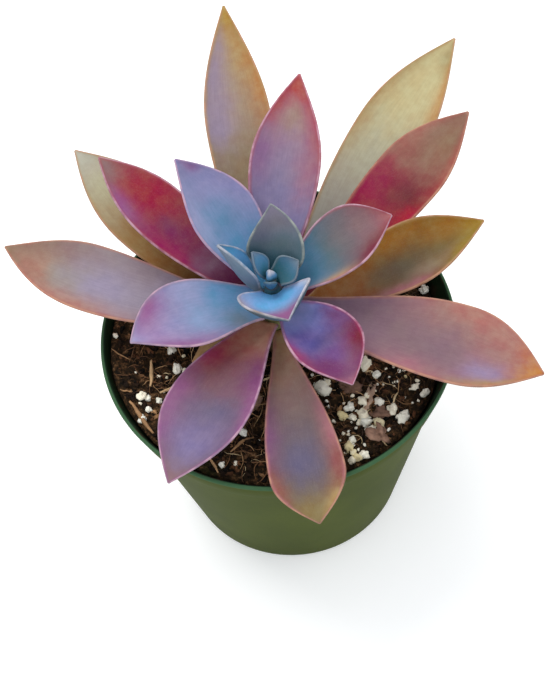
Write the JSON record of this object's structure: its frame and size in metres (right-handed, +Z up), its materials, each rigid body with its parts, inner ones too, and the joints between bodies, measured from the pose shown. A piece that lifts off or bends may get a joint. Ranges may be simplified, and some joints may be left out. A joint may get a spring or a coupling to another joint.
{
  "type": "potted graptoveria",
  "caption": "Rosette succulent with long fleshy pointed leaves on a short bare stem, planted in potting mix in a round tapered nursery pot with a rim band and drain holes.",
  "frame": {"origin": "centre of the pot's flat base, on the surface that it stands on", "axes": "+Z up along the pot's axis, -Y towards the front, where the long leaves hang lowest over the rim"},
  "size_m": [0.1508, 0.1592, 0.1354],
  "materials": {
    "pot_plastic": "satin",
    "potting_mix": "matte",
    "stem_bark": "matte",
    "outer_leaf": "matte",
    "inner_leaf": "matte",
    "young_leaf": "matte"
  },
  "bodies": {
    "root": {"pot": "pot_plastic", "soil": "potting_mix", "stem": "stem_bark", "old_leaf": "outer_leaf", "leaf_01": "outer_leaf", "leaf_02": "outer_leaf", "leaf_03": "outer_leaf", "leaf_04": "outer_leaf", "leaf_05": "outer_leaf", "leaf_06": "outer_leaf", "leaf_07": "outer_leaf", "leaf_08": "outer_leaf", "leaf_09": "outer_leaf", "leaf_10": "outer_leaf", "leaf_11": "outer_leaf", "leaf_12": "inner_leaf", "leaf_13": "inner_leaf", "leaf_14": "inner_leaf", "leaf_15": "inner_leaf", "leaf_16": "inner_leaf", "leaf_17": "inner_leaf", "leaf_18": "inner_leaf", "leaf_19": "inner_leaf", "leaf_20": "inner_leaf", "leaf_21": "inner_leaf", "bud": "young_leaf"}
  },
  "joints": []
}
